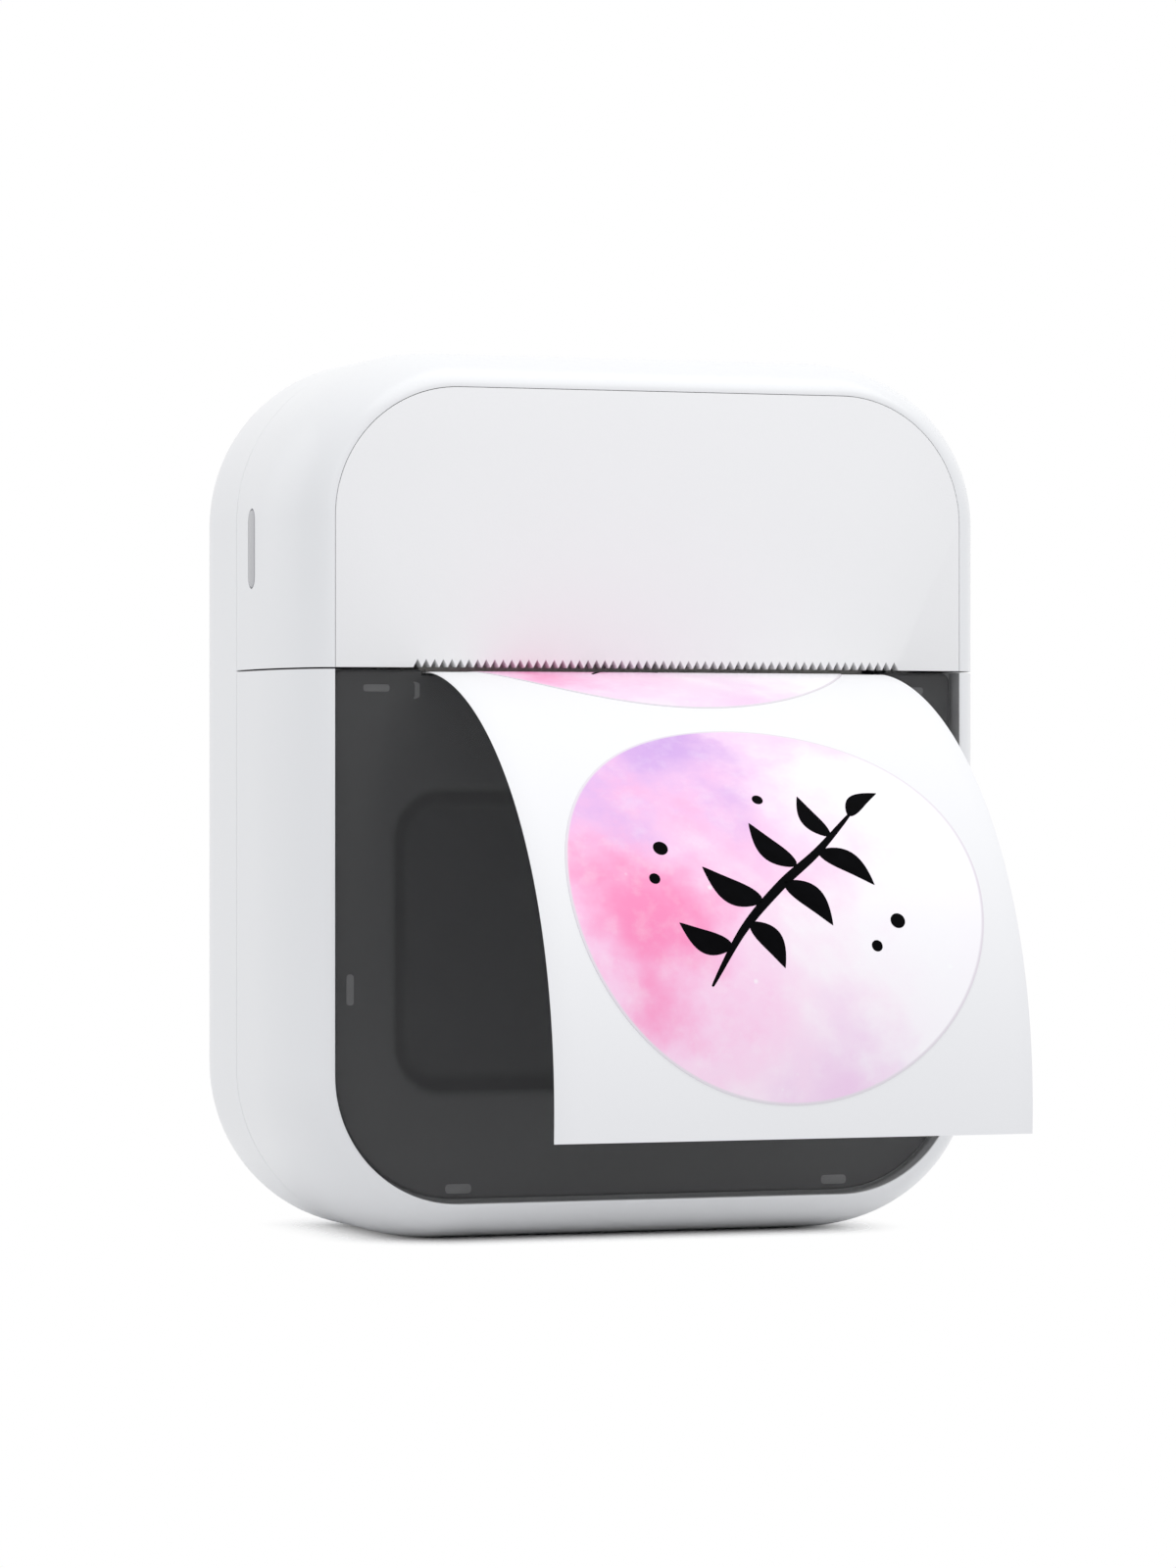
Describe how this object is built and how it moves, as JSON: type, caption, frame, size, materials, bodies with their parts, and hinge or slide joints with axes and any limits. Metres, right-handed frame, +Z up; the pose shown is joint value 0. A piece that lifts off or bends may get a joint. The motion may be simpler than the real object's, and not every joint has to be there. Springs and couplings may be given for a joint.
{
  "type": "thermal label printer",
  "caption": "Pocket thermal label printer: white rounded casing, smoked drop-down door over the paper bay, platen feed, print head and a label strip leaving the slot.",
  "frame": {"origin": "flat underside of the body, middle of its width and depth", "axes": "+X to the right of someone facing the front, front faces -Y, +Z up"},
  "size_m": [0.0881, 0.0841, 0.1046],
  "materials": {
    "white_shell": "satin",
    "white_panel": "satin",
    "smoked_panel": "polished",
    "dark_liner": "satin",
    "tab_plastic": "matte",
    "button_plastic": "satin",
    "chassis_plastic": "matte",
    "steel": "brushed",
    "aluminium": "satin",
    "ceramic": "matte",
    "gear_plastic": "satin",
    "brass": "satin",
    "roller_rubber": "matte",
    "paper": "matte",
    "cardboard": "matte",
    "label_paper": "satin",
    "board_green": "satin",
    "chip_black": "matte",
    "battery_wrap": "satin",
    "cable_film": "satin"
  },
  "bodies": {
    "housing": {"rear_shell": "white_shell", "upper_frame": "white_shell", "upper_panel": "white_panel", "chassis": "chassis_plastic", "idler_axle": "steel", "motor_can": "steel", "head_bracket": "steel", "head_springs": "steel", "head_pivot_pin": "steel", "main_board": "board_green", "board_chips": "chip_black", "usb_socket": "steel", "button_board": "board_green", "button_switch": "chip_black", "battery": "battery_wrap", "head_cable": "cable_film", "paper_sensor": "chip_black", "case_screws": "steel", "board_screws": "steel", "hinge_pin": "steel", "label_web": "paper"},
    "door": {"door_frame": "white_shell", "door_panel": "smoked_panel", "door_liner": "dark_liner", "snap_tabs": "tab_plastic", "platen_bushings": "gear_plastic", "label_strip": "paper", "label_front": "label_paper", "label_next": "label_paper"},
    "platen": {"platen_shaft": "steel", "platen_rubber": "roller_rubber", "platen_gear": "gear_plastic"},
    "roll": {"paper_roll": "paper", "roll_core": "cardboard"},
    "idler": {"idler_gear": "gear_plastic"},
    "pinion": {"motor_pinion": "brass"},
    "head": {"head_heatsink": "aluminium", "head_ceramic": "ceramic"},
    "button": {"power_button": "button_plastic"}
  },
  "joints": [
    {"name": "door_hinge", "type": "hinge", "parent": "housing", "child": "door", "pos_m": [0, 0.0031, 0.00125], "axis": [1, 0, 0], "range_deg": [0, 85]},
    {"name": "roll_spin", "type": "hinge", "parent": "housing", "child": "roll", "pos_m": [0.00075, 0, 0.025], "axis": [1, 0, 0], "continuous": true},
    {"name": "platen_spin", "type": "hinge", "parent": "door", "child": "platen", "pos_m": [0, -0.012, 0.06193], "axis": [1, 0, 0], "continuous": true},
    {"name": "idler_spin", "type": "hinge", "parent": "housing", "child": "idler", "pos_m": [0.0335, 0.00023, 0.06497], "axis": [1, 0, 0], "continuous": true},
    {"name": "motor_spin", "type": "hinge", "parent": "housing", "child": "pinion", "pos_m": [0.0335, 0.00829, 0.05691], "axis": [1, 0, 0], "continuous": true},
    {"name": "head_lift", "type": "hinge", "parent": "housing", "child": "head", "pos_m": [0.00075, -0.001, 0.07096], "axis": [-1, 0, 0], "range_deg": [0, 3], "stiffness_Nm_per_rad": 0.5, "springref_deg": -5.73, "deforming": ["head_springs"]},
    {"name": "power_press", "type": "slide", "parent": "housing", "child": "button", "axis": [1, 0, 0], "range_m": [0, 0.0006], "stiffness_N_per_m": 1500, "springref_m": -0.0003}
  ],
  "couplings": [
    {"joint": "platen_spin", "follows": "roll_spin", "ratio": 3.3333},
    {"joint": "idler_spin", "follows": "roll_spin", "ratio": -2.5},
    {"joint": "motor_spin", "follows": "roll_spin", "ratio": 4.2857}
  ]
}
